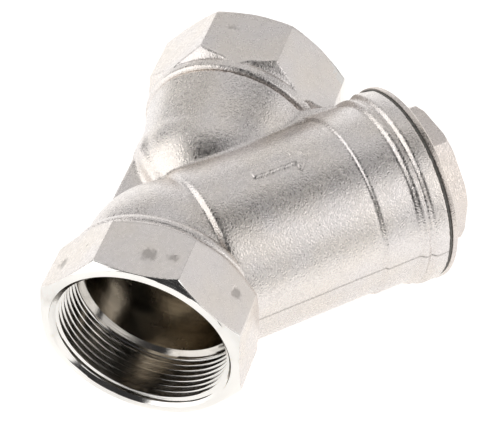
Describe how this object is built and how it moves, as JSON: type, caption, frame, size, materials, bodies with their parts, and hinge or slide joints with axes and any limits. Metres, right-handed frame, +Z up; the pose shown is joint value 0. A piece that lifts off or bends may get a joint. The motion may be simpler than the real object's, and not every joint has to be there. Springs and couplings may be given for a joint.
{
  "type": "y strainer",
  "caption": "Forged brass Y strainer, nickel plated, with octagonal threaded ends and a screwed cap that holds a perforated tube screen.",
  "frame": {"origin": "centre of the inlet's end face, on the run's axis", "axes": "+X along the run from the inlet to the outlet, +Z up with the strainer lying on its side, so the branch leans from +X towards -Y"},
  "size_m": [0.126, 0.1195, 0.0688],
  "materials": {
    "body": "nickel-plated forged brass, fine blasted skin, bright turned faces",
    "cap": "nickel-plated brass, fine blasted skin",
    "gasket": "dark flat gasket",
    "screen": "perforated stainless sheet"
  },
  "bodies": {
    "housing": {"body": "body"},
    "strainer_insert": {"screen": "screen", "gasket": "gasket"},
    "cap": {"cap": "cap"}
  },
  "joints": [
    {"name": "cap_travel", "type": "slide", "parent": "housing", "child": "strainer_insert", "axis": [0.7071, -0.7071, 0], "range_m": [0, 0.0111]},
    {"name": "cap_turn", "type": "hinge", "parent": "strainer_insert", "child": "cap", "pos_m": [0.0314, 0, 0], "axis": [0.7071, -0.7071, 0], "range_deg": [0, 1980]}
  ],
  "couplings": [
    {"joint": "cap_travel", "follows": "cap_turn", "m_per_rad": 0.00031831}
  ]
}
